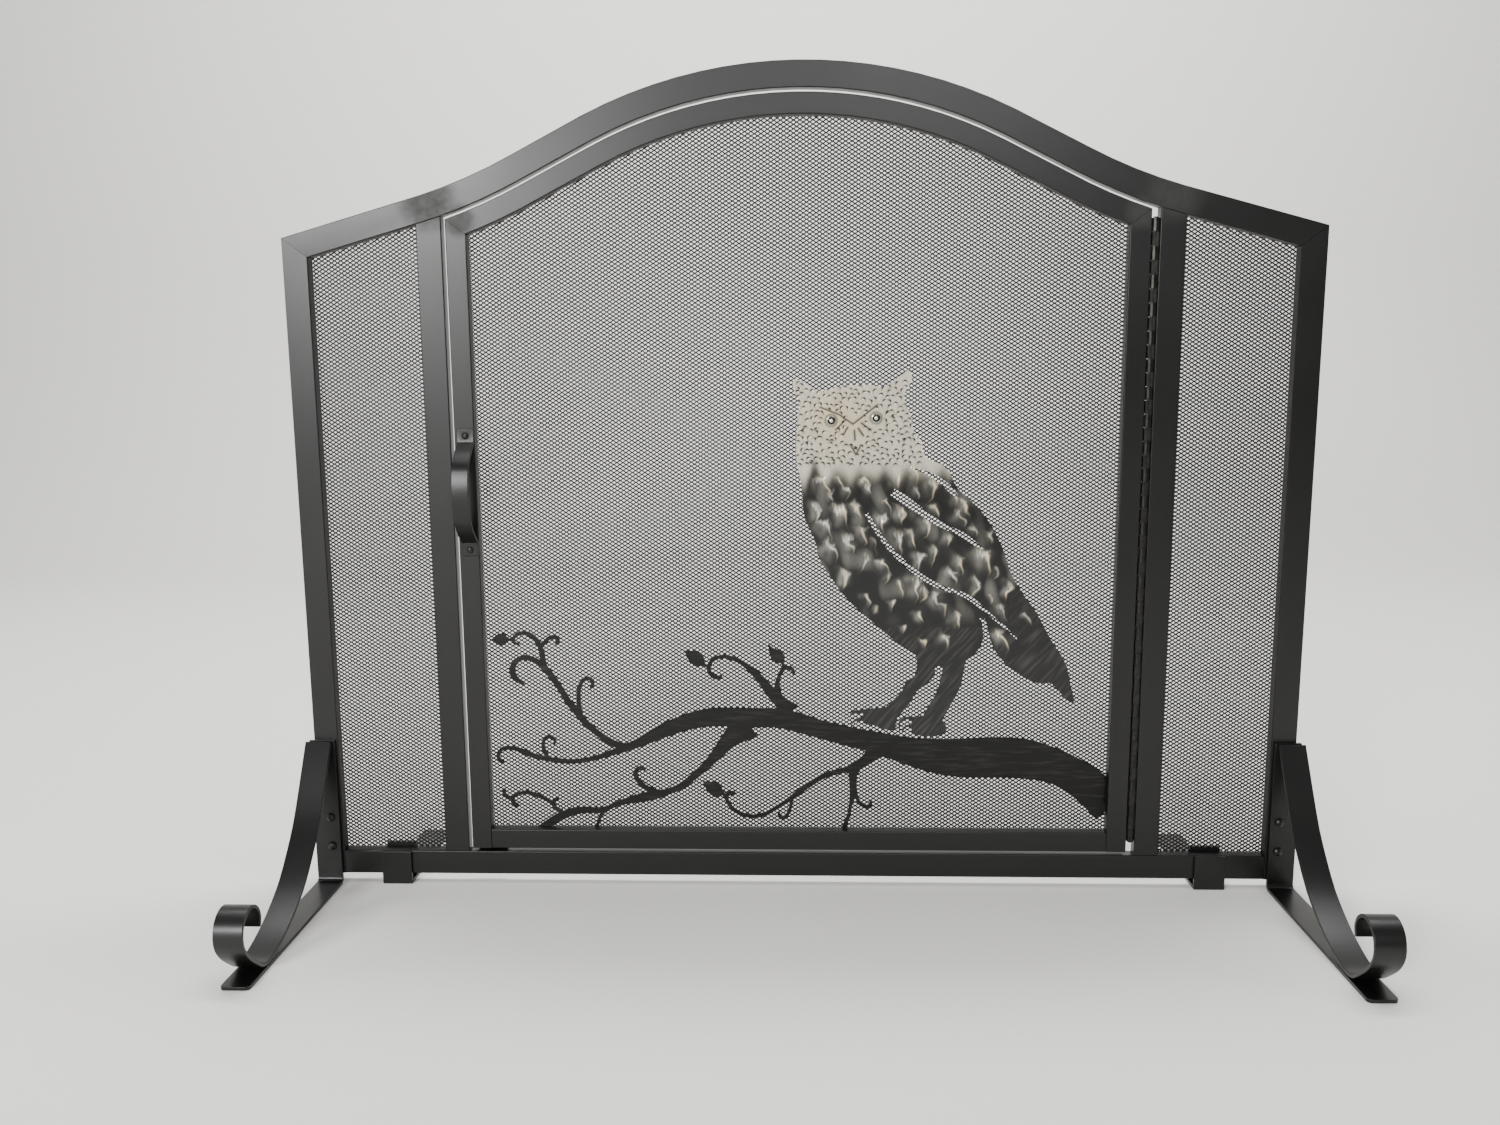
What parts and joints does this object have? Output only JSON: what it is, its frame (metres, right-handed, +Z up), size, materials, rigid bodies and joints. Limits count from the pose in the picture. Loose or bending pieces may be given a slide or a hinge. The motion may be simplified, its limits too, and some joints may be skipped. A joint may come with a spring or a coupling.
{
  "type": "fireplace screen",
  "caption": "Arched fireplace screen with a hinged mesh door, an owl perched over a branch in cut steel plate, scrolled front feet and flat rear feet.",
  "frame": {"origin": "on the ground, under the middle of the screen's bounding box", "axes": "+X to the hinge side along the width, +Z up, the decorated front faces -Y"},
  "size_m": [0.9776, 0.3606, 0.7874],
  "materials": {
    "black_coat": "satin black heat-proof coat on welded steel",
    "black_mesh": "matt black coated expanded metal",
    "hinge_steel": "black coated rolled steel, worn bright on the barrel",
    "cut_steel": "blackened plate with bright ground streaks",
    "torched_steel": "blackened plate, ground and heat-tinted into feathers, clear lacquer",
    "ring_steel": "darkened stamped boss"
  },
  "bodies": {
    "frame": {"left_post": "black_coat", "right_post": "black_coat", "bottom_rail": "black_coat", "arch_rail": "black_coat", "left_mullion": "black_coat", "right_mullion": "black_coat", "left_side_mesh": "black_mesh", "right_side_mesh": "black_mesh", "left_foot_bracket": "black_coat", "right_foot_bracket": "black_coat", "left_foot_bow": "black_coat", "right_foot_bow": "black_coat", "left_foot_rivet_lower": "black_coat", "left_foot_rivet_upper": "black_coat", "right_foot_rivet_lower": "black_coat", "right_foot_rivet_upper": "black_coat", "left_rear_foot": "black_coat", "right_rear_foot": "black_coat", "hinge_leaf_frame": "hinge_steel", "hinge_pin": "hinge_steel", "magnet_catch": "hinge_steel"},
    "door": {"door_latch_stile": "black_coat", "door_hinge_stile": "black_coat", "door_bottom_rail": "black_coat", "door_arch_rail": "black_coat", "door_mesh": "black_mesh", "hinge_leaf_door": "hinge_steel", "door_handle": "black_coat", "handle_screw_lower": "hinge_steel", "handle_screw_upper": "hinge_steel", "owl_plate": "torched_steel", "owl_eye_left": "ring_steel", "owl_eye_right": "ring_steel", "branch_plate": "cut_steel"}
  },
  "joints": [
    {"name": "door_hinge", "type": "hinge", "parent": "frame", "child": "door", "pos_m": [0.3271, 0.0463, 0.346], "axis": [0, 0, 1], "range_deg": [0, 105]}
  ]
}
